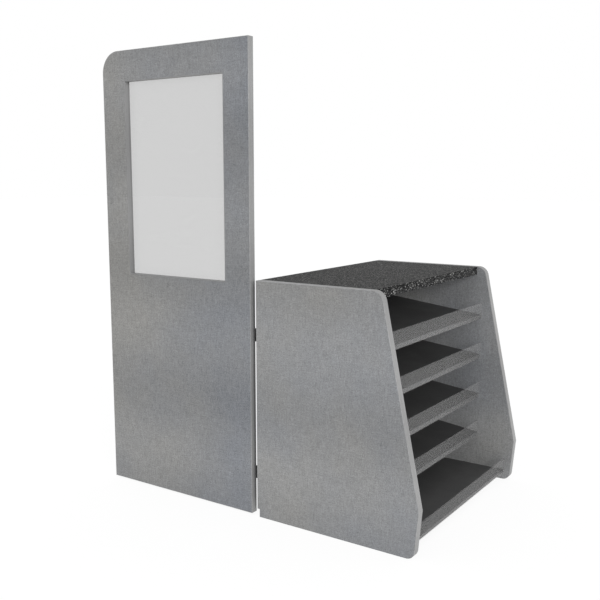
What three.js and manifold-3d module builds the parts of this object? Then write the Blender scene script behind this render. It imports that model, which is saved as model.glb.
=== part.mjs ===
// Checkout end display with a swing gate.  Millimetres, +Z up, floor at z = 0.
// +X runs from the gate to the open front of the shelves; the near side panel faces -Y.
import * as THREE from 'three';
import { mergeVertices } from 'three/addons/utils/BufferGeometryUtils.js';
import Module from 'manifold-3d';

const wasm = await Module();
wasm.setup();

// ---- overall sizes --------------------------------------------------------------------------
const UNIT_W = 900;               // outside to outside of the two side panels
const UNIT_H = 870;               // floor to worktop
const BOARD_T = 28;               // side panels and gate leaf
const GATE_W = 709;
const GATE_H = 1698;
const GATE_LIFT = 6;              // gap under the gate
const HINGE_GAP = 25;             // open gap between the gate and the side panel
const GAP = 0.3;                  // play left between touching pieces
const EDGE_T = 2;                 // edging strip thickness

// ---- side panel outline, from its rear edge and from the floor --------------------------------
const NOTCH = { x: 10, z: 30 };
const FOOT = { x: 632, z: 0, r: 30 };
const NOSE = { x: 647, z: 165, r: 6 };
const BROW = { x: 499, z: UNIT_H, r: 40 };
const EDGING_START = 597;         // where the edging strip begins under the foot

// ---- worktop, shelves and lips ------------------------------------------------------------------
const WORKTOP = { depth: 465, t: 32, edging: 2 };
const BACK = { x: 2, t: 8, z: 30 };
const SHELF = { rear: 11, front: 489.3, t: 16, tilt: THREE.MathUtils.degToRad(6.9) };
const SHELF_Z = [674.8, 510.3, 345.4, 181.1];     // top face at each front edge, top shelf first
const BASE_SHELF = { rear: 11, front: 607, t: 12, z: 41 };
const LIP = { t: 4, h: 65, baseH: 60 };
const BATTEN = { size: 18, from: 60, length: 370 };

// ---- gate ---------------------------------------------------------------------------------------
const GATE_CORNER_R = 80;
const WINDOW = { side: 116.5, bottom: 850, w: 478.5, h: 733, r: 2 };
const PANE = { t: 3, lap: 9 };

// ---- hinges -------------------------------------------------------------------------------------
const HINGE_Z = { upper: 669, lower: 156.5 };
const HINGE = { h: 48, split: 1, barrelR: 5, plateT: 2.5, onGate: 30, onPanel: 25, clear: 0.8 };
const PIN = { r: 2.5, play: 0.05, short: 1 };
const WASHER = { r: 4.7, t: 0.8 };
const SCREW = { r: 1.75, headR: 3.5, headH: 1.8, length: 20, tip: 3, sink: 0.15, spread: 14, fromEdge: 15 };

const LENGTH = GATE_W + HINGE_GAP + NOSE.x;
const INSIDE_W = UNIT_W - 2 * (BOARD_T + GAP);
const INSIDE_Y = BOARD_T + GAP;

const LOOKS = {
  laminate: { color: 0x8f9394, roughness: 0.55, metalness: 0 },
  edging: { color: 0xb2b4b6, roughness: 0.45, metalness: 0 },
  granite: { color: 0x4e4e4e, roughness: 0.5, metalness: 0 },
  blackBoard: { color: 0x242424, roughness: 0.6, metalness: 0 },
  acrylic: { color: 0xb9bcbe, roughness: 0.2, metalness: 0, transparent: true, opacity: 0.45 },
  pane: { color: 0xcfcfcf, roughness: 0.3, metalness: 0, transparent: true, opacity: 0.6 },
  hinge: { color: 0x2d2d30, roughness: 0.5, metalness: 0.4 },
  screw: { color: 0x3a3a3c, roughness: 0.4, metalness: 0.8 },
  nylon: { color: 0xe6e4de, roughness: 0.6, metalness: 0 },
};

// The unit stands on the floor with its local origin at the near panel's lower rear outer corner.
// The gate's local origin is on the hinge axis at floor level.
const display = new THREE.Group();
const unit = new THREE.Group();
const gate = new THREE.Group();
unit.position.set(LENGTH / 2 - NOSE.x, -UNIT_W / 2, 0);
// The hinge axis lies in the middle of the gap, in the middle of the leaf on the gate's rear face.
const BEHIND = GAP + HINGE.plateT / 2;
const AXIS = { x: -HINGE_GAP / 2, y: BOARD_T + BEHIND };      // in the unit's frame
gate.position.set(unit.position.x + AXIS.x, unit.position.y + AXIS.y, 0);
display.add(unit, gate);

function add(parent, name, look, geometry, x = 0, y = 0, z = 0) {
  const mesh = new THREE.Mesh(geometry, new THREE.MeshStandardMaterial(LOOKS[look]));
  mesh.name = name;
  mesh.position.set(x, y, z);
  parent.add(mesh);
  return mesh;
}

// Rectangular board given by its low corner and its size.
function addBoard(parent, name, look, [x, y, z], [w, d, h]) {
  add(parent, name, look, new THREE.BoxGeometry(w, d, h), x + w / 2, y + d / 2, z + h / 2);
}

// ---- outlines drawn in X and Z --------------------------------------------------------------------

// Closed outline through corners {x, z, r}; a corner with r is rounded by an arc of that radius.
function outline(corners, Path = THREE.Shape) {
  const path = new Path();
  corners.forEach((corner, i) => {
    const here = new THREE.Vector2(corner.x, corner.z);
    const before = corners.at(i - 1);
    const after = corners[(i + 1) % corners.length];
    const a = new THREE.Vector2(before.x, before.z).sub(here).normalize();
    const b = new THREE.Vector2(after.x, after.z).sub(here).normalize();
    const r = corner.r ?? 0;
    const half = Math.acos(a.dot(b)) / 2;
    const from = here.clone().addScaledVector(a, r / Math.tan(half));
    const to = here.clone().addScaledVector(b, r / Math.tan(half));
    if (i === 0) path.moveTo(from.x, from.y);
    else path.lineTo(from.x, from.y);
    if (r === 0) return;
    const centre = here.clone().addScaledVector(a.clone().add(b).normalize(), r / Math.sin(half));
    const turn = (p) => Math.atan2(p.y - centre.y, p.x - centre.x);
    path.absarc(centre.x, centre.y, r, turn(from), turn(to), a.cross(b) > 0);
  });
  path.closePath();
  return path;
}

// The corner between two straight edges once both have moved inwards by d.
function insetCorner(before, corner, after, d) {
  const edge = (p, q) => {
    const dir = new THREE.Vector2(q.x - p.x, q.z - p.z).normalize();
    return { start: new THREE.Vector2(p.x - dir.y * d, p.z + dir.x * d), dir };
  };
  const one = edge(before, corner);
  const two = edge(corner, after);
  const t = two.start.clone().sub(one.start).cross(two.dir) / one.dir.cross(two.dir);
  return { x: one.start.x + one.dir.x * t, z: one.start.y + one.dir.y * t, r: corner.r - d };
}

// Stands an outline up as a slab that runs from y = 0 to y = thickness.
function slab(shape, thickness) {
  const geometry = new THREE.ExtrudeGeometry(shape,
    { depth: thickness, bevelEnabled: false, curveSegments: 10 });
  return geometry.rotateX(Math.PI / 2).translate(0, thickness, 0);
}

// ---- solid operations -------------------------------------------------------------------------------

function solid(geometry) {
  const bare = geometry.clone();
  bare.deleteAttribute('normal');
  bare.deleteAttribute('uv');
  const merged = mergeVertices(bare, 1e-4);
  return new wasm.Manifold(new wasm.Mesh({
    numProp: 3,
    vertProperties: new Float32Array(merged.attributes.position.array),
    triVerts: new Uint32Array(merged.index.array),
  }));
}

function geometryOf(manifold) {
  const mesh = manifold.getMesh();
  const geometry = new THREE.BufferGeometry();
  geometry.setAttribute('position',
    new THREE.BufferAttribute(new Float32Array(mesh.vertProperties), 3));
  geometry.setIndex(new THREE.BufferAttribute(new Uint32Array(mesh.triVerts), 1));
  geometry.computeVertexNormals();
  return geometry;
}

// Joins the first list of geometries and takes the second list away.
function carve(parts, tools) {
  const whole = parts.map(solid).reduce((sum, part) => sum.add(part));
  return geometryOf(tools.map(solid).reduce((left, tool) => left.subtract(tool), whole));
}

// ---- hinge screws, in a frame with the hinge axis at x = y = 0 ------------------------------------------

// The gate's screws are driven forwards into its rear face, the panel's into its rear edge.
const DRIVES = {
  gate: { x: -HINGE_GAP / 2 - SCREW.fromEdge, y: HINGE.plateT / 2, dx: 0, dy: -1 },
  panel: { x: HINGE_GAP / 2 - GAP - HINGE.plateT, y: -BEHIND - BOARD_T / 2, dx: 1, dy: 0 },
};

function screwPlaces(level) {
  return ['gate', 'panel'].flatMap((leaf) => [1, 2].map((n) => ({
    name: `hinge_${level}_${leaf}_screw_${n}`,
    leaf,
    ...DRIVES[leaf],
    z: HINGE_Z[level] + (n === 1 ? 1 : -1) * SCREW.spread,
  })));
}

// Turns an outline of [radius, depth] pairs and lays it along the way its screw is driven.
function driven(profile, { dx, dy }) {
  const points = profile.map(([r, depth]) => new THREE.Vector2(r, depth));
  return new THREE.LatheGeometry(points, 12).rotateZ(Math.atan2(dy, dx) - Math.PI / 2);
}

function screwBody(drive) {
  const { r, headR, headH, length, tip } = SCREW;
  return driven([[0, 0], [headR, 0], [r, headH], [r, length - tip], [0, length]], drive);
}

function screwHole(screw) {
  const { r, headR, headH, length } = SCREW;
  const profile = [[0, -1], [headR + GAP, -1], [headR + GAP, 0], [r + GAP, headH],
    [r + GAP, length + 1], [0, length + 1]];
  return driven(profile, screw).translate(screw.x, screw.y, screw.z);
}

const SCREWS = ['upper', 'lower'].flatMap(screwPlaces);
const holesFor = (leaf) => SCREWS.filter((screw) => screw.leaf === leaf).map(screwHole);

// ---- side panels ----------------------------------------------------------------------------------------

// The banded part of the outline, from under the foot to the top rear corner, moved in by d.
function bandedRun(d) {
  const start = { x: EDGING_START, z: 0 };
  const end = { x: 0, z: UNIT_H };
  return [
    { x: start.x, z: d },
    insetCorner(start, FOOT, NOSE, d),
    insetCorner(FOOT, NOSE, BROW, d),
    insetCorner(NOSE, BROW, end, d),
    { x: end.x, z: end.z - d },
  ];
}

function panelCore() {
  return slab(outline([
    { x: NOTCH.x, z: 0 },
    { x: EDGING_START - GAP, z: 0 },
    { x: EDGING_START - GAP, z: EDGE_T + GAP },
    ...bandedRun(EDGE_T + GAP).slice(1),
    { x: 0, z: NOTCH.z },
    { x: NOTCH.x, z: NOTCH.z },
  ]), BOARD_T);
}

function panelEdging() {
  return slab(outline([...bandedRun(0), ...bandedRun(EDGE_T).reverse()]), BOARD_T);
}

function addSidePanels() {
  const holes = holesFor('panel').map((hole) => hole.translate(AXIS.x, AXIS.y, 0));
  const farY = UNIT_W - BOARD_T;
  add(unit, 'near_side_panel', 'laminate', carve([panelCore()], holes));
  add(unit, 'near_panel_edging', 'edging', panelEdging());
  add(unit, 'far_side_panel', 'laminate', panelCore(), 0, farY);
  add(unit, 'far_panel_edging', 'edging', panelEdging(), 0, farY);
}

// ---- worktop, back, shelves and lips --------------------------------------------------------------

function addWorktopAndBack() {
  const { depth, t, edging } = WORKTOP;
  const under = UNIT_H - t;
  addBoard(unit, 'worktop', 'granite', [0, INSIDE_Y, under], [depth, INSIDE_W, t]);
  addBoard(unit, 'worktop_front_edging', 'granite', [depth + GAP, INSIDE_Y, under], [edging, INSIDE_W, t]);
  addBoard(unit, 'back_panel', 'laminate',
    [BACK.x, INSIDE_Y, BACK.z], [BACK.t, INSIDE_W, under - GAP - BACK.z]);
}

// Sloping board with upright front and rear cuts; z = 0 is its top face at the front edge.
function slopingShelf() {
  const { rear, front, t, tilt } = SHELF;
  const rise = (front - rear) * Math.tan(tilt);
  const drop = t / Math.cos(tilt);
  return slab(outline([
    { x: rear, z: rise - drop },
    { x: front, z: -drop },
    { x: front, z: 0 },
    { x: rear, z: rise },
  ]), INSIDE_W);
}

// Square battens on the side panels under the two ends of a shelf; x, z is their upper rear edge.
function addBattens(parent, name, tilt, x, z) {
  const { size, length } = BATTEN;
  const geometry = new THREE.BoxGeometry(length, size, size).translate(length / 2, 0, -size / 2);
  const inset = INSIDE_Y + size / 2;
  add(parent, `${name}_near`, 'blackBoard', geometry, x, inset, z).rotation.y = tilt;
  add(parent, `${name}_far`, 'blackBoard', geometry, x, UNIT_W - inset, z).rotation.y = tilt;
}

function addShelves() {
  const drop = SHELF.t / Math.cos(SHELF.tilt);
  const battenZ = (SHELF.front - BATTEN.from) * Math.tan(SHELF.tilt) - drop - GAP;
  SHELF_Z.forEach((z, i) => {
    const level = new THREE.Group();
    level.position.z = z;
    unit.add(level);
    add(level, `shelf_${i + 1}`, 'blackBoard', slopingShelf(), 0, INSIDE_Y);
    addBoard(level, `lip_${i + 1}`, 'acrylic',
      [SHELF.front + GAP, INSIDE_Y, 0.5 - drop], [LIP.t, INSIDE_W, LIP.h]);
    addBattens(level, `shelf_${i + 1}_batten`, SHELF.tilt, BATTEN.from, battenZ);
  });
}

function addBaseShelf() {
  const { rear, front, t, z } = BASE_SHELF;
  addBoard(unit, 'bottom_shelf', 'blackBoard', [rear, INSIDE_Y, z - t], [front - rear, INSIDE_W, t]);
  addBoard(unit, 'bottom_lip', 'acrylic', [front + GAP, INSIDE_Y, z - t], [LIP.t, INSIDE_W, LIP.baseH]);
  addBattens(unit, 'bottom_batten', 0, BATTEN.from, z - t - GAP);
}

// ---- gate, in a frame with the hinge axis at x = y = 0 ------------------------------------------

const GATE_RIGHT = -HINGE_GAP / 2;
const GATE_FRONT_Y = -AXIS.y;

// Only the top corner away from the hinges is rounded.
function gateOutline(d) {
  const [x0, x1] = [GATE_RIGHT - GATE_W + d, GATE_RIGHT - d];
  const [z0, z1] = [GATE_LIFT + d, GATE_LIFT + GATE_H - d];
  return [{ x: x0, z: z0 }, { x: x1, z: z0 }, { x: x1, z: z1 }, { x: x0, z: z1, r: GATE_CORNER_R - d }];
}

// Window opening grown outwards by d.
function windowOutline(d) {
  const x = GATE_RIGHT - GATE_W + WINDOW.side;
  const z = GATE_LIFT + WINDOW.bottom;
  const r = WINDOW.r + d;
  const [x0, x1, z0, z1] = [x - d, x + WINDOW.w + d, z - d, z + WINDOW.h + d];
  return [{ x: x0, z: z0, r }, { x: x1, z: z0, r }, { x: x1, z: z1, r }, { x: x0, z: z1, r }];
}

function frameSlab(outer, inner, thickness) {
  const shape = outline(outer);
  shape.holes.push(outline(inner, THREE.Path));
  return slab(shape, thickness);
}

function addGate() {
  const paneY = BOARD_T - PANE.t;
  const rebate = slab(outline(windowOutline(PANE.lap + GAP)), PANE.t + 2)
    .translate(0, paneY - GAP, 0);
  const holes = holesFor('gate').map((hole) => hole.translate(0, -GATE_FRONT_Y, 0));
  const core = frameSlab(gateOutline(EDGE_T + GAP), windowOutline(EDGE_T + GAP), BOARD_T);
  const rim = frameSlab(gateOutline(0), gateOutline(EDGE_T), BOARD_T);
  const reveal = frameSlab(windowOutline(EDGE_T), windowOutline(0), paneY - GAP);
  add(gate, 'gate_panel', 'laminate', carve([core], [rebate, ...holes]), 0, GATE_FRONT_Y);
  add(gate, 'gate_edging', 'edging', rim, 0, GATE_FRONT_Y);
  add(gate, 'gate_window_edging', 'edging', reveal, 0, GATE_FRONT_Y);
  add(gate, 'gate_pane', 'pane', slab(outline(windowOutline(PANE.lap)), PANE.t), 0, GATE_FRONT_Y + paneY);
}

// ---- hinges ------------------------------------------------------------------------------------------

function upright(r, z0, z1) {
  return new THREE.CylinderGeometry(r, r, z1 - z0, 32).rotateX(Math.PI / 2).translate(0, 0, (z0 + z1) / 2);
}

function block([x0, x1], [y0, y1], [z0, z1]) {
  return new THREE.BoxGeometry(x1 - x0, y1 - y0, z1 - z0)
    .translate((x0 + x1) / 2, (y0 + y1) / 2, (z0 + z1) / 2);
}

// A screw plate over the hinge's full height, and an arm that carries half of the barrel.
function hingeLeaf(level, leaf) {
  const { h, split, barrelR, plateT, onGate, onPanel, clear } = HINGE;
  const middle = HINGE_Z[level];
  const full = [middle - h / 2, middle + h / 2];
  const [z0, z1] = leaf === 'gate' ? [middle + split / 2, full[1]] : [full[0], middle - split / 2];
  const flat = [-plateT / 2, plateT / 2];
  const gateEdge = -HINGE_GAP / 2;
  const panelFace = HINGE_GAP / 2 - GAP;
  const [plate, arm] = leaf === 'gate'
    ? [block([gateEdge - onGate, -barrelR - clear], flat, full), [-barrelR - clear - 1, 0]]
    : [block([panelFace - plateT, panelFace], [-onPanel, flat[1]], full), [0, panelFace]];
  const pieces = [plate, block(arm, flat, [z0, z1]), upright(barrelR, z0, z1)];
  const bore = upright(PIN.r + PIN.play, z0 - 1, z1 + 1);
  const holes = screwPlaces(level).filter((screw) => screw.leaf === leaf).map(screwHole);
  return carve(pieces, [bore, ...holes]);
}

function washer() {
  const ring = new THREE.Shape().absarc(0, 0, WASHER.r, 0, 2 * Math.PI, false);
  ring.holes.push(new THREE.Path().absarc(0, 0, PIN.r + GAP, 0, 2 * Math.PI, true));
  return new THREE.ExtrudeGeometry(ring, { depth: WASHER.t, bevelEnabled: false, curveSegments: 20 });
}

function addHinges() {
  for (const level of ['upper', 'lower']) {
    const z = HINGE_Z[level];
    const pin = upright(PIN.r, z - HINGE.h / 2, z + HINGE.h / 2 - PIN.short);
    add(gate, `hinge_${level}_gate_leaf`, 'hinge', hingeLeaf(level, 'gate'));
    add(unit, `hinge_${level}_panel_leaf`, 'hinge', hingeLeaf(level, 'panel'), AXIS.x, AXIS.y);
    add(unit, `hinge_${level}_pin`, 'screw', pin, AXIS.x, AXIS.y);
    add(unit, `hinge_${level}_washer`, 'nylon', washer(), AXIS.x, AXIS.y, z - WASHER.t / 2);
  }
  for (const screw of SCREWS) {
    const [parent, x, y] = screw.leaf === 'gate' ? [gate, 0, 0] : [unit, AXIS.x, AXIS.y];
    add(parent, screw.name, 'screw', screwBody(screw),
      x + screw.x + screw.dx * SCREW.sink, y + screw.y + screw.dy * SCREW.sink, screw.z);
  }
}

addSidePanels();
addWorktopAndBack();
addShelves();
addBaseShelf();
addGate();
addHinges();

export default display;
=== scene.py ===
"""Looks of the checkout end display with a swing gate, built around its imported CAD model.

Metres, +Z up, floor at z = 0.  +X runs from the gate to the open front of the shelves, and the near
side panel and the gate's front face -Y.
"""

import math

import bmesh
import bpy
from mathutils import Matrix, Vector


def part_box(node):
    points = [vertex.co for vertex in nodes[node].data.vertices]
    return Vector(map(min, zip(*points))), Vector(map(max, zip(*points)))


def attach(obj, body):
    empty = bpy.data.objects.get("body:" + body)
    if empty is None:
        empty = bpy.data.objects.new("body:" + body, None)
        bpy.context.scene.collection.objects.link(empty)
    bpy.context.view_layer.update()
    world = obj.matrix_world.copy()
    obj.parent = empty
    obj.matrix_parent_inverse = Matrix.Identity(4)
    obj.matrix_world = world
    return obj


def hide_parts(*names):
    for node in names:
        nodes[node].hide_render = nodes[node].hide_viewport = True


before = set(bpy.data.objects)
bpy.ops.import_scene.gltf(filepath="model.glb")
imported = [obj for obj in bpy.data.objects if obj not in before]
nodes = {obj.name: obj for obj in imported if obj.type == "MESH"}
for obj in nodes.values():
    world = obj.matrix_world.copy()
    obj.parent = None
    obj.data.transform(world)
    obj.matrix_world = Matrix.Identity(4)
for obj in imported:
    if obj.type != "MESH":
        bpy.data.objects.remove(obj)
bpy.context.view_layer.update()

MM = 0.001
SQUARE = ((-1, -1), (1, -1), (1, 1), (-1, 1))    # signs of x and y at its corners, in turn

# ---- camera, floor and light ---------------------------------------------------------------------

CAMERA_AT = (1.7808, -2.7382, 1.2243)
CAMERA_TILT = 81.608              # degrees up from looking straight down
CAMERA_TURN = 34.106              # degrees about Z, from looking along +Y
LENS, SENSOR = 49.39, 36          # millimetres

FLOOR_REACH = 40                  # metres each way from the middle
FLOOR_GREY = 0.1
FLOOR_GLOW = 0.9                  # enough to make the floor as white as the world behind it

WORLD_LIGHT = 1.0
SUN_LIGHT = 2.2
SUN_TURN, SUN_HEIGHT, SUN_WIDTH = 35, 14, 26     # degrees: from +X towards -Y, above the floor, across


def make_camera():
    data = bpy.data.cameras.new("camera")
    data.sensor_width = SENSOR
    data.lens = LENS
    camera = bpy.data.objects.new("camera", data)
    camera.location = CAMERA_AT
    camera.rotation_euler = (math.radians(CAMERA_TILT), 0, math.radians(CAMERA_TURN))
    bpy.context.collection.objects.link(camera)
    bpy.context.scene.camera = camera


def make_floor():
    mesh = bpy.data.meshes.new("floor")
    corners = [(x * FLOOR_REACH, y * FLOOR_REACH, 0) for x, y in SQUARE]
    mesh.from_pydata(corners, [], [(0, 1, 2, 3)])
    floor = bpy.data.objects.new("floor", mesh)
    bpy.context.collection.objects.link(floor)
    material = bpy.data.materials.new("pale_floor")
    material.use_nodes = True
    shader = material.node_tree.nodes["Principled BSDF"]
    shader.inputs["Base Color"].default_value = (FLOOR_GREY, FLOOR_GREY, FLOOR_GREY, 1)
    shader.inputs["Roughness"].default_value = 0.9
    shader.inputs["Specular IOR Level"].default_value = 0
    shader.inputs["Emission Color"].default_value = (1, 1, 1, 1)
    shader.inputs["Emission Strength"].default_value = FLOOR_GLOW
    mesh.materials.append(material)


def make_light():
    scene = bpy.context.scene
    scene.view_settings.view_transform = "Standard"
    world = bpy.data.worlds.new("studio")
    world.use_nodes = True
    background = world.node_tree.nodes["Background"]
    background.inputs["Color"].default_value = (1, 1, 1, 1)
    background.inputs["Strength"].default_value = WORLD_LIGHT
    scene.world = world
    turn, height = math.radians(SUN_TURN), math.radians(SUN_HEIGHT)
    level = math.cos(height)
    towards = Vector((math.cos(turn) * level, -math.sin(turn) * level, math.sin(height)))
    data = bpy.data.lights.new("key", "SUN")
    data.energy = SUN_LIGHT
    data.angle = math.radians(SUN_WIDTH)
    key = bpy.data.objects.new("key", data)
    key.rotation_mode = "QUATERNION"
    key.rotation_quaternion = (-towards).to_track_quat("-Z", "Y")
    bpy.context.collection.objects.link(key)


make_camera()
make_floor()
make_light()

# ---- materials -----------------------------------------------------------------------------------

STREAK_PITCH = 0.463              # metres from one light streak to the next, on every board
STREAK_HEIGHT = 0.188             # height of the lowest one's middle
STREAK_STRENGTH = 0.074           # how much lighter its middle is


class Surface:
    """A procedural material: one Principled shader fed by patterns in the object's own coordinates."""

    def __init__(self, name, **fixed):
        self.material = bpy.data.materials.new(name)
        self.material.use_nodes = True
        self.tree = self.material.node_tree
        self.shader = self.tree.nodes["Principled BSDF"]
        for socket, value in fixed.items():
            self.shader.inputs[socket.replace("_", " ")].default_value = value
        self.place = self.add("TexCoord").outputs["Object"]

    def add(self, kind, **fields):
        node = self.tree.nodes.new("ShaderNode" + kind)
        for field, value in fields.items():
            setattr(node, field, value)
        return node

    def feed(self, socket, value):
        """Links value to socket if it comes from a node, and sets it otherwise."""
        if isinstance(value, bpy.types.NodeSocket):
            self.tree.links.new(value, socket)
        else:
            socket.default_value = value

    def scaled(self, x, y, z):
        """The object's own coordinates, times x, y and z."""
        node = self.add("Mapping")
        self.feed(node.inputs["Vector"], self.place)
        node.inputs["Scale"].default_value = (x, y, z)
        return node.outputs["Vector"]

    def noise(self, scale, detail, stretch=None, offset=0.0):
        """Noise from 0 to 1: scale waves per metre, times stretch along each axis."""
        node = self.add("TexNoise")
        vector = self.place if stretch is None else self.scaled(*stretch)
        self.feed(node.inputs["Vector"], vector)
        node.inputs["Scale"].default_value = scale
        node.inputs["Detail"].default_value = detail
        if offset:
            node.noise_dimensions = "4D"
            node.inputs["W"].default_value = offset
        return node.outputs["Fac"]

    def grains(self, scale, vector=None):
        """A random value from 0 to 1 for each irregular grain."""
        node = self.add("TexVoronoi")
        self.feed(node.inputs["Vector"], self.place if vector is None else vector)
        node.inputs["Scale"].default_value = scale
        split = self.add("SeparateColor")
        self.feed(split.inputs[0], node.outputs["Color"])
        return split.outputs[0]

    def calc(self, operation, a, b=0.0, c=0.0):
        node = self.add("Math", operation=operation)
        for socket, value in zip(node.inputs, (a, b, c)):
            self.feed(socket, value)
        return node.outputs[0]

    def total(self, *terms):
        """0.5 plus each (value, weight) pair's swing about 0.5."""
        result = 0.5
        for value, weight in terms:
            swing = self.calc("SUBTRACT", value, 0.5)
            result = self.calc("MULTIPLY_ADD", swing, weight, result)
        return result

    def ramp(self, value, *stops):
        """Colours by value; each stop is a place and a grey, or a place and a colour."""
        node = self.add("ValToRGB")
        elements = node.color_ramp.elements
        while len(elements) < len(stops):
            elements.new(0.5)
        for element, (place, colour) in zip(elements, stops):
            element.position = place
            element.color = (*(colour if isinstance(colour, tuple) else (colour,) * 3), 1)
        self.feed(node.inputs["Fac"], value)
        return node.outputs["Color"]

    def blend(self, factor, a, b, mode="MIX"):
        """Colour a where factor is 0 and b where it is 1, or their product under MULTIPLY."""
        node = self.add("Mix", data_type="RGBA", blend_type=mode)
        self.feed(node.inputs["Factor"], factor)
        for socket, value in ((node.inputs[6], a), (node.inputs[7], b)):
            self.feed(socket, (*value, 1) if isinstance(value, tuple) else value)
        return node.outputs[2]

    def spread(self, value, low, high, to_low, to_high):
        """Value, with low to high laid out over to_low to to_high and held at both ends."""
        node = self.add("MapRange", clamp=True)
        for socket, number in zip(node.inputs, (value, low, high, to_low, to_high)):
            self.feed(socket, number)
        return node.outputs[0]

    def axis(self, index):
        """One of the object's own coordinates."""
        node = self.add("SeparateXYZ")
        self.feed(node.inputs[0], self.place)
        return node.outputs[index]

    def streaked(self, colour):
        """Colour crossed by level streaks, which change it softly with height, at the same heights
        wherever they are used.
        """
        turn = 2 * math.pi / STREAK_PITCH
        drift = self.spread(self.noise(1.7, 2, offset=8.2), 0.0, 1.0, -0.3, 0.3)
        start = self.calc("SUBTRACT", drift, turn * STREAK_HEIGHT)
        angle = self.calc("MULTIPLY_ADD", self.axis(2), turn, start)
        gain = self.calc("MULTIPLY_ADD", self.calc("COSINE", angle), STREAK_STRENGTH, 1.0)
        return self.blend(1.0, colour, gain, "MULTIPLY")

    def finish(self, colour, roughness, height, distance, strength):
        """Gives the shader its colour, its roughness and a bump, and returns the material."""
        self.feed(self.shader.inputs["Base Color"], colour)
        self.feed(self.shader.inputs["Roughness"], roughness)
        bump = self.add("Bump")
        bump.inputs["Strength"].default_value = strength
        bump.inputs["Distance"].default_value = distance
        self.feed(bump.inputs["Height"], height)
        self.feed(self.shader.inputs["Normal"], bump.outputs["Normal"])
        return self.material


def laminate(name, dark, light, sheen_from, sheen_to):
    """Grey laminate with a woven look: threads, slubs, level streaks, a random cloudy tint and a painted
    sheen along X.

    dark and light are the threads' greys, and the last two arguments the ends of the painted sheen, from
    warm and light to bluish and darker.
    """
    s = Surface(name, Specular_IOR_Level=0.4)
    warp = s.noise(1, 2, (620, 620, 26))
    weft = s.noise(1, 2, (26, 26, 620), offset=3.1)
    slub = s.noise(1, 3, (190, 190, 45), offset=7.7)
    cross = s.noise(1, 3, (45, 45, 190), offset=1.3)
    mottle = s.noise(240, 3)
    flecks = s.grains(420)
    tone = s.total((warp, 0.5), (weft, 0.45), (slub, 0.5), (cross, 0.3), (mottle, 1.0), (flecks, 0.3))
    colour = s.ramp(tone, (0.1, dark), (0.9, light))
    # painted sheen: the tint goes from warm and light to bluish and darker along X, a reflection painted
    # into the colour; the cloud mixed in is random tone
    cloud = s.noise(2.9, 3, offset=2.0)
    along = s.spread(s.axis(0), sheen_from, sheen_to, 0.0, 1.0)
    sheen_and_cloud = s.total((along, 0.55), (cloud, 1.5))
    tint = s.ramp(sheen_and_cloud, (0.1, (1.07, 1.06, 1.02)), (0.9, (0.84, 0.885, 0.965)))
    colour = s.blend(1.0, colour, tint, "MULTIPLY")
    blotches = s.ramp(s.noise(3.6, 1.5, offset=5.7), (0.3, 0.96), (0.7, 1.04))
    colour = s.streaked(s.blend(1.0, colour, blotches, "MULTIPLY"))
    rough = s.spread(tone, 0.2, 0.8, 0.62, 0.46)
    height = s.total((warp, 0.9), (weft, 0.9), (mottle, 0.4))
    return s.finish(colour, rough, height, 0.00012, 0.35)


MID_Y = 0.436                     # from the centre plane to the middle of each board's thickness


def edging(name, low, high, wear=(0.46, 0.47, 0.49), rubbing=0.3, painted_shade_span=None):
    """Silver edge band: fine lines along its length, level streaks, small scuffs and rubbed corners.

    wear is the rubbed corners' colour and rubbing its strength.  The last argument, when given, is the
    two places along Y between which the band is darkened with painted shade, as next to the window pane.
    """
    s = Surface(name, Specular_IOR_Level=0.5)
    lines = s.noise(1, 3, (9, 900, 9))
    broad = s.noise(1, 2, (5, 160, 5), offset=4.0)
    mottle = s.noise(240, 3)
    tone = s.total((lines, 0.7), (broad, 0.5), (mottle, 0.6))
    colour = s.streaked(s.ramp(tone, (0.15, low), (0.85, high)))
    across = s.calc("ABSOLUTE", s.calc("SUBTRACT", s.calc("ABSOLUTE", s.axis(1)), MID_Y))
    arris = s.spread(across, 0.0122, 0.0138, 0.0, 1.0)
    rubbed = s.calc("MULTIPLY", arris, s.spread(s.noise(60, 4, offset=9.0), 0.42, 0.62, 0.15, 0.9))
    colour = s.blend(s.calc("MULTIPLY", rubbed, rubbing), colour, wear)
    scuffs = s.spread(s.noise(1, 4, (40, 130, 22), offset=5.5), 0.66, 0.74, 0.0, 0.35)
    colour = s.blend(scuffs, colour, (0.14, 0.14, 0.15))
    # painted shade: the band darkens between the two places along Y, towards the pane
    if painted_shade_span:
        colour = s.blend(s.spread(s.axis(1), *painted_shade_span, 0.0, 0.3), colour, (0.05, 0.05, 0.05))
    rough = s.spread(s.total((lines, -0.25), (rubbed, 0.1), (mottle, 0.1)), 0.0, 1.0, 0.38, 0.7)
    return s.finish(colour, rough, s.total((lines, 0.8), (mottle, 0.4)), 0.00006, 0.3)


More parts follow.
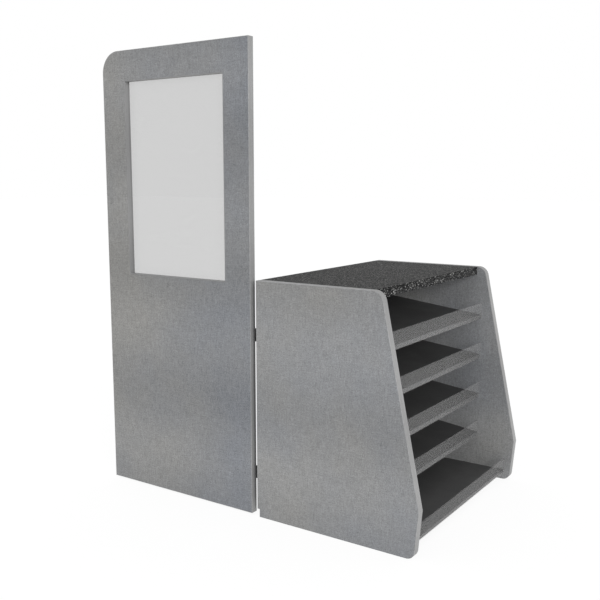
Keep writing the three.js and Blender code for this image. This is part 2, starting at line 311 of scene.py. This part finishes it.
def granite(name, base, grain_scale, contrast, specular, pale_share=0.2):
    """Charcoal laminate with a stone look; pale_share is how much of it the pale grains cover."""
    s = Surface(name, Specular_IOR_Level=specular)
    # noise shifts the grains' coordinates, so that their borders wander
    warped = s.add("VectorMath", operation="ADD")
    shift = s.add("TexNoise")
    s.feed(shift.inputs["Vector"], s.place)
    shift.inputs["Scale"].default_value = grain_scale * 0.8
    small = s.add("VectorMath", operation="SCALE")
    s.feed(small.inputs[0], shift.outputs["Color"])
    small.inputs["Scale"].default_value = 0.9 / grain_scale
    s.feed(warped.inputs[0], s.place)
    s.feed(warped.inputs[1], small.outputs[0])
    coarse = s.grains(grain_scale, warped.outputs[0])
    fine = s.grains(grain_scale * 2.3, warped.outputs[0])
    dust = s.noise(900, 3)
    field = s.blend(0.5, s.ramp(dust, (0.3, base * 0.75), (0.7, base * 1.25)), (base, base, base))
    pale = s.spread(coarse, 1 - pale_share, 1.04 - pale_share, 0.0, contrast)
    black = s.spread(coarse, 0.36, 0.30, 0.0, contrast)
    specks = s.spread(fine, 0.86, 0.9, 0.0, contrast * 0.5)
    colour = s.blend(black, field, (0.012, 0.012, 0.013))
    colour = s.blend(pale, colour, (0.34, 0.34, 0.33))
    colour = s.blend(specks, colour, (0.22, 0.22, 0.22))
    rough = s.spread(s.total((fine, 0.25), (dust, 0.3)), 0.0, 1.0, 0.55, 0.8)
    return s.finish(colour, rough, s.total((fine, 0.5), (dust, 0.5)), 0.0001, 0.25)


def shelf_black(name, low, high):
    """Near-black board with a fine pebbled skin and light rub marks."""
    s = Surface(name, Specular_IOR_Level=0.35)
    pebble = s.noise(1300, 3)
    cloud = s.noise(9, 3, offset=1.0)
    rubs = s.spread(s.noise(1, 5, (18, 90, 18), offset=6.0), 0.62, 0.72, 0.0, 0.3)
    tone = s.total((pebble, 0.8), (cloud, 0.5))
    colour = s.blend(rubs, s.ramp(tone, (0.2, low), (0.8, high)), (0.1, 0.1, 0.102))
    rough = s.spread(tone, 0.2, 0.8, 0.68, 0.5)
    return s.finish(colour, rough, pebble, 0.00008, 0.4)


def acrylic(name, opacity, low, high):
    """Grey clear sheet with faint haze and wiping marks; opacity is that of each of its two faces."""
    s = Surface(name, Alpha=opacity, IOR=1.49, Specular_IOR_Level=0.5)
    haze = s.noise(6, 2)
    wiping = s.noise(1, 3, (5, 5, 16), offset=2.5)
    tone = s.total((haze, 0.6), (wiping, 0.3))
    colour = s.ramp(tone, (0.2, low), (0.8, high))
    rough = s.spread(s.total((haze, 0.5), (wiping, 0.6)), 0.0, 1.0, 0.16, 0.42)
    return s.finish(colour, rough, wiping, 0.0004, 0.2)


def hinge_black():
    """Dark coated steel, rubbed to bare metal here and there."""
    s = Surface("hinge_steel", Specular_IOR_Level=0.5)
    cast = s.noise(1400, 3)
    patches = s.noise(190, 4, offset=3.0)
    bare = s.spread(patches, 0.6, 0.68, 0.0, 0.8)
    colour = s.blend(bare, s.ramp(cast, (0.3, 0.016), (0.7, 0.034)), (0.16, 0.16, 0.165))
    s.feed(s.shader.inputs["Metallic"], s.calc("MULTIPLY_ADD", bare, 0.6, 0.25))
    return s.finish(colour, s.spread(bare, 0.0, 1.0, 0.5, 0.32), cast, 0.00006, 0.4)


def bright_steel():
    """Zinc-plated steel with turning marks round its axis and a few dull spots."""
    s = Surface("plated_steel", Metallic=1.0)
    turned = s.noise(1, 3, (300, 300, 2600))
    spots = s.noise(420, 3, offset=2.0)
    tone = s.total((turned, 0.5), (spots, 0.8))
    colour = s.ramp(tone, (0.2, (0.30, 0.31, 0.33)), (0.8, (0.52, 0.53, 0.55)))
    return s.finish(colour, s.spread(spots, 0.3, 0.7, 0.24, 0.46), turned, 0.00003, 0.3)


def nylon():
    """Off-white moulded plastic."""
    s = Surface("washer_nylon", IOR=1.53, Subsurface_Weight=0.1)
    grain = s.noise(2200, 2)
    stain = s.noise(260, 3, offset=4.0)
    colour = s.ramp(stain, (0.3, (0.62, 0.60, 0.55)), (0.7, (0.76, 0.75, 0.71)))
    return s.finish(colour, s.spread(grain, 0.3, 0.7, 0.38, 0.52), grain, 0.00004, 0.3)


# the last two numbers of each laminate are where its painted sheen starts and ends along X
PANEL = laminate("panel_laminate", 0.116, 0.246, -0.2, 1.1)
# painted light: far_panel_laminate is the panel laminate with its greys and sheen retuned to the light
# on the far panel's inner face
FAR_PANEL = laminate("far_panel_laminate", 0.122, 0.25, 0.2, 0.9)
GATE = laminate("gate_laminate", 0.0965, 0.2275, -0.6, 0.07)
EDGE = edging("edge_band", 0.16, 0.242)
# painted shade darkens this band next to the window pane
REVEAL = edging("window_edge_band", 0.15, 0.225, (0.2, 0.205, 0.21), painted_shade_span=(-0.436, -0.431))
BAND = edging("shelf_edge_band", 0.042, 0.062, rubbing=0.0)
WORKTOP = granite("worktop_laminate", 0.012, 290, 0.34, 0.06)
WORKTOP_EDGE = granite("worktop_edge_laminate", 0.003, 280, 0.78, 0.06, 0.11)
BOARD = shelf_black("black_board", 0.029, 0.058)
# painted light: the bottom shelf's board is the black board in lighter greys, for the extra light its
# taller, open bay gets
BASE_BOARD_PAINTED_LIGHTER = shelf_black("black_board_painted_lighter", 0.039, 0.076)
LIP = acrylic("lip_acrylic", 0.1, 0.325, 0.39)
PANE = acrylic("pane_acrylic", 0.27, 0.13, 0.145)
HINGE = hinge_black()
STEEL = bright_steel()
NYLON = nylon()

# ---- CAD nodes that keep their shape -------------------------------------------------------------

WELD_WITHIN = 1e-6                # metres
FLAT_WITHIN = math.radians(0.3)   # faces this close to level with each other count as one flat
CORNER_OVER = math.radians(30)    # edges that turn by more than this are rounded
CREASE_OVER = math.radians(40)    # and shading breaks across those that turn by more than this


def smoothing():
    """Smooth shading everywhere but across creases."""
    group = bpy.data.node_groups.new("smooth_by_angle", "GeometryNodeTree")
    for way in ("INPUT", "OUTPUT"):
        group.interface.new_socket("Geometry", in_out=way, socket_type="NodeSocketGeometry")
    start = group.nodes.new("NodeGroupInput")
    end = group.nodes.new("NodeGroupOutput")
    angle = group.nodes.new("GeometryNodeInputMeshEdgeAngle")
    limit = group.nodes.new("FunctionNodeCompare")
    limit.operation = "LESS_THAN"
    limit.inputs["B"].default_value = CREASE_OVER
    faces = group.nodes.new("GeometryNodeSetShadeSmooth")
    edges = group.nodes.new("GeometryNodeSetShadeSmooth")
    faces.domain, edges.domain = "FACE", "EDGE"
    link = group.links.new
    link(angle.outputs["Unsigned Angle"], limit.inputs["A"])
    link(start.outputs[0], faces.inputs["Geometry"])
    link(faces.outputs[0], edges.inputs["Geometry"])
    link(limit.outputs[0], edges.inputs["Shade Smooth"])
    link(edges.outputs[0], end.inputs[0])
    return group


SMOOTHING = smoothing()


def ease(piece, radius, segments=2):
    """Rounds a piece's corners by radius and shades it smoothly."""
    weld = piece.modifiers.new("weld", "WELD")
    weld.merge_threshold = WELD_WITHIN
    flats = piece.modifiers.new("flats", "DECIMATE")
    flats.decimate_type = "DISSOLVE"
    flats.angle_limit = FLAT_WITHIN
    corners = piece.modifiers.new("corners", "BEVEL")
    corners.width = radius
    corners.segments = segments
    corners.limit_method = "ANGLE"
    corners.angle_limit = CORNER_OVER
    shade(piece)


def shade(piece):
    """Smooth shading that keeps flat faces flat."""
    smooth = piece.modifiers.new("smooth", "NODES")
    smooth.node_group = SMOOTHING
    weighted = piece.modifiers.new("normals", "WEIGHTED_NORMAL")
    weighted.keep_sharp = True


def dress(names, material, radius, segments=2):
    for name in names:
        piece = nodes[name]
        piece.data.materials.clear()
        piece.data.materials.append(material)
        ease(piece, radius, segments)


SHELVES = ["shelf_1", "shelf_2", "shelf_3", "shelf_4"]
BATTENS = [f"{shelf}_batten_{side}" for shelf in (*SHELVES, "bottom") for side in ("near", "far")]
LIPS = ["lip_1", "lip_2", "lip_3", "lip_4", "bottom_lip"]
LEVELS = ("upper", "lower")
LEAVES = [f"hinge_{level}_{leaf}_leaf" for level in LEVELS for leaf in ("gate", "panel")]

dress(["near_side_panel", "back_panel"], PANEL, 0.2 * MM)
dress(["far_side_panel"], FAR_PANEL, 0.2 * MM)
dress(["gate_panel"], GATE, 0.2 * MM)
dress(["near_panel_edging", "far_panel_edging", "gate_edging"], EDGE, 0.8 * MM, 3)
dress(["gate_window_edging"], REVEAL, 0.8 * MM, 3)
dress(["worktop"], WORKTOP, 0.5 * MM)
dress(["worktop_front_edging"], WORKTOP_EDGE, 0.6 * MM)
dress(BATTENS, BOARD, 1.2 * MM)
dress(LIPS, LIP, 0.7 * MM, 3)
dress(["gate_pane"], PANE, 0.5 * MM)
dress(LEAVES, HINGE, 0.3 * MM)

# ---- new pieces ----------------------------------------------------------------------------------


def to_object(name, bm):
    """Object made of bm, which is used up."""
    bmesh.ops.recalc_face_normals(bm, faces=bm.faces)
    mesh = bpy.data.meshes.new(name)
    bm.to_mesh(mesh)
    bm.free()
    thing = bpy.data.objects.new(name, mesh)
    bpy.context.collection.objects.link(thing)
    return thing


def new_piece(name, bm, material, body, slot, *stands_for):
    """Visible piece that moves with body; stands_for names the CAD nodes it is seen in place of."""
    piece = to_object(name, bm)
    piece.data.materials.append(material)
    shade(piece)
    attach(piece, body)
    if stands_for:
        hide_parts(*stands_for)


def long_board(outline, y0, y1, radius):
    """Board with an (x, z) outline, running from y0 to y1, with rounded corners."""
    bm = bmesh.new()
    face = bm.faces.new([bm.verts.new((x, y0, z)) for x, z in outline])
    made = bmesh.ops.extrude_face_region(bm, geom=[face])
    moved = [v for v in made["geom"] if isinstance(v, bmesh.types.BMVert)]
    bmesh.ops.translate(bm, vec=(0, y1 - y0, 0), verts=moved)
    bmesh.ops.bevel(bm, geom=bm.edges[:], offset=radius, segments=2, profile=0.5, affect="EDGES")
    return bm


BAND_T = 1.5 * MM
BAND_SEAM = 0.05 * MM
SHELF_T = 16 * MM
SHELF_TILT = math.radians(6.9)


def banded_shelf(node, drop, material):
    """Shelf board and the band on its front edge.  drop is the board's thickness measured upright."""
    low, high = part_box(node)
    slope = (high.z - low.z - drop) / (high.x - low.x)
    split = high.x - BAND_T

    def outline(x0, x1):
        top0, top1 = high.z - slope * (x0 - low.x), high.z - slope * (x1 - low.x)
        return [(x0, top0 - drop), (x1, top1 - drop), (x1, top1), (x0, top0)]

    board = long_board(outline(low.x, split - BAND_SEAM), low.y, high.y, 0.3 * MM)
    band = long_board(outline(split, high.x), low.y, high.y, 0.4 * MM)
    new_piece(node + "_board", board, material, "unit", "shelf_board", node)
    new_piece(node + "_front_band", band, BAND, "unit", "edging")


for shelf in SHELVES:
    banded_shelf(shelf, SHELF_T / math.cos(SHELF_TILT), BOARD)
base_low, base_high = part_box("bottom_shelf")
# the bottom shelf gets the lighter, painted-light copy of the black board
banded_shelf("bottom_shelf", base_high.z - base_low.z, BASE_BOARD_PAINTED_LIGHTER)


LATHE_STEPS = 48
ON_AXIS = 1e-9                    # a smaller radius is a point on the axis


def lathe(profile):
    """Solid turned about Z through (radius, height) points, closed on itself or on the axis."""
    bm = bmesh.new()
    rings = []
    for radius, height in profile:
        if radius < ON_AXIS:
            rings.append([bm.verts.new((0, 0, height))])
            continue
        turns = [2 * math.pi * i / LATHE_STEPS for i in range(LATHE_STEPS)]
        ring = [(radius * math.cos(turn), radius * math.sin(turn), height) for turn in turns]
        rings.append([bm.verts.new(point) for point in ring])
    closed = len(rings[0]) > 1
    for one, two in zip(rings, rings[1:] + rings[:1] if closed else rings[1:]):
        for i in range(LATHE_STEPS):
            j = i + 1
            corners = [one[i % len(one)], one[j % len(one)], two[j % len(two)], two[i % len(two)]]
            bm.faces.new([v for n, v in enumerate(corners) if v not in corners[:n]])
    return bm


def screw_shape():
    """Countersunk screw about Z, driven along +Z, with its head's flat top at z = 0."""
    flat, head, shank, tip = 3.2 * MM, 3.5 * MM, 1.75 * MM, 0.4 * MM
    neck, taper, length = 1.85 * MM, 17 * MM, 20 * MM
    return lathe([(0, 0), (flat, 0), (head, 0.15 * MM), (head, 0.3 * MM), (shank, neck),
                  (shank, taper), (tip, length), (0, length)])


def cross_cutter():
    """Tapered cross that cuts the driver recess."""
    bm = bmesh.new()
    # half length, half width and height at the cross's open end and at its tip
    ends = ((1.9 * MM, 0.55 * MM, -0.5 * MM), (0.75 * MM, 0.275 * MM, 1.5 * MM))
    for quarter in range(2):
        turn = Matrix.Rotation(quarter * math.pi / 2, 4, "Z")
        top, tip = (
            [bm.verts.new(turn @ Vector((x * reach, y * wide, z))) for x, y in SQUARE]
            for reach, wide, z in ends)
        bm.faces.new(top)
        bm.faces.new(tip[::-1])
        for i in range(4):
            j = (i + 1) % 4
            bm.faces.new((top[i], tip[i], tip[j], top[j]))
    return bm


def carved_screw():
    """The screw's mesh with its recess cut."""
    body = to_object("screw_body", screw_shape())
    cutter = to_object("screw_cutter", cross_cutter())
    cut = body.modifiers.new("recess", "BOOLEAN")
    cut.operation = "DIFFERENCE"
    cut.solver = "EXACT"
    cut.use_self = True
    cut.object = cutter
    evaluated = body.evaluated_get(bpy.context.evaluated_depsgraph_get())
    mesh = bpy.data.meshes.new_from_object(evaluated)
    bpy.data.objects.remove(body)
    bpy.data.objects.remove(cutter)
    return mesh


SCREW = carved_screw()


def add_screw(level, leaf, number):
    node = f"hinge_{level}_{leaf}_screw_{number}"
    low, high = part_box(node)
    centre = (low + high) / 2
    # a quarter turn lays the screw along -Y in the gate and +X in the panel
    if leaf == "gate":
        body, axis, head = "gate", "X", Vector((centre.x, high.y, centre.z))
    else:
        body, axis, head = "unit", "Y", Vector((low.x, centre.y, centre.z))
    lay = Matrix.Rotation(math.pi / 2, 4, axis)
    # no two recesses of a leaf stop at the same angle
    spin = Matrix.Rotation(math.radians(25 + 31 * number + (17 if level == "upper" else 0)), 4, "Z")
    bm = bmesh.new()
    bm.from_mesh(SCREW)
    bmesh.ops.transform(bm, matrix=Matrix.Translation(head) @ lay @ spin, verts=bm.verts)
    new_piece(node + "_cross_head", bm, STEEL, body, "fixing_steel", node)


def add_turned(node, ending, profile_of, material, slot):
    """Upright turned piece in place of node; profile_of gives its profile from its radius and height."""
    low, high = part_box(node)
    middle = (low + high) / 2
    bm = lathe(profile_of((high.x - low.x) / 2, high.z - low.z))
    bmesh.ops.translate(bm, vec=(middle.x, middle.y, low.z), verts=bm.verts)
    new_piece(node + ending, bm, material, "unit", slot, node)


def pin_profile(r, length):
    """Pin with a rounded lower end and a domed upper one."""
    e = 0.8 * MM
    return [(0, 0), (r - e, 0), (r - 0.3 * e, 0.3 * e), (r, e),
            (r, length - 1.6 * e), (r - 0.25 * e, length - 0.8 * e),
            (r - e, length - 0.2 * e), (r - 2 * e, length), (0, length)]


def washer_profile(outer, t):
    """Flat ring with its four rims broken."""
    inner, c = 2.8 * MM, 0.15 * MM
    return [(inner, c), (inner + c, 0), (outer - c, 0), (outer, c),
            (outer, t - c), (outer - c, t), (inner + c, t), (inner, t - c)]


for level in LEVELS:
    add_turned(f"hinge_{level}_pin", "_domed", pin_profile, STEEL, "fixing_steel")
    add_turned(f"hinge_{level}_washer", "_ring", washer_profile, NYLON, "washer_nylon")
    for leaf in ("gate", "panel"):
        for number in (1, 2):
            add_screw(level, leaf, number)
